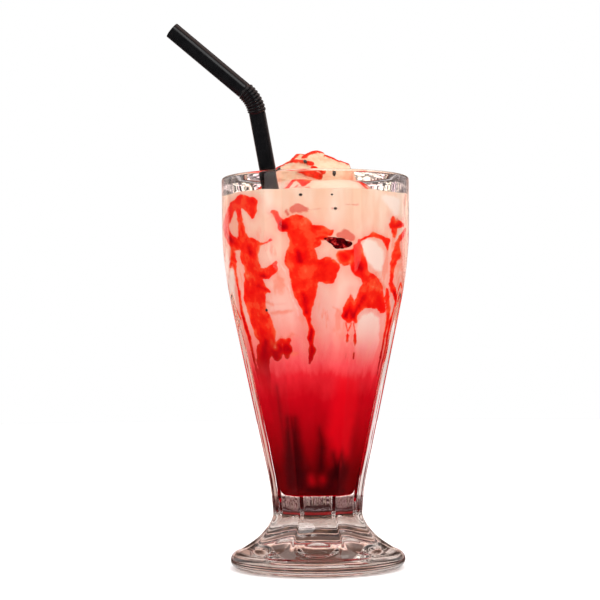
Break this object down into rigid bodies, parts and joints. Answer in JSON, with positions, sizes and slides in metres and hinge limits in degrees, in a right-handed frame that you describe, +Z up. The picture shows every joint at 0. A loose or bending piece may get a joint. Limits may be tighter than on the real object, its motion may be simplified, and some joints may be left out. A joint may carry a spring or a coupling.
{
  "type": "falooda",
  "caption": "Rose-syrup milk drink in a tall fluted footed glass, topped with a scoop of ice cream under thick red syrup, with a black bendy straw",
  "frame": {"origin": "the centre of the flat underside of the glass's foot, on the surface it stands on", "axes": "+Z up along the glass's axis, -Y towards the viewer, and the straw's open end points towards -X"},
  "size_m": [0.11, 0.088, 0.2487],
  "materials": {
    "clear_glass": "clear pressed soda glass, polished, with the soft edges of a mould",
    "rose_syrup": null,
    "rose_milk": null,
    "ice_cream": null,
    "scoop": null,
    "black_straw": "thin black polypropylene tube, semi-gloss, ribbed at the bend"
  },
  "bodies": {
    "root": {"glass": "clear_glass", "rose_syrup": "rose_syrup", "rose_milk": "rose_milk", "melted_ice_cream": "ice_cream", "ice_cream_scoop": "scoop", "straw": "black_straw"}
  },
  "joints": []
}
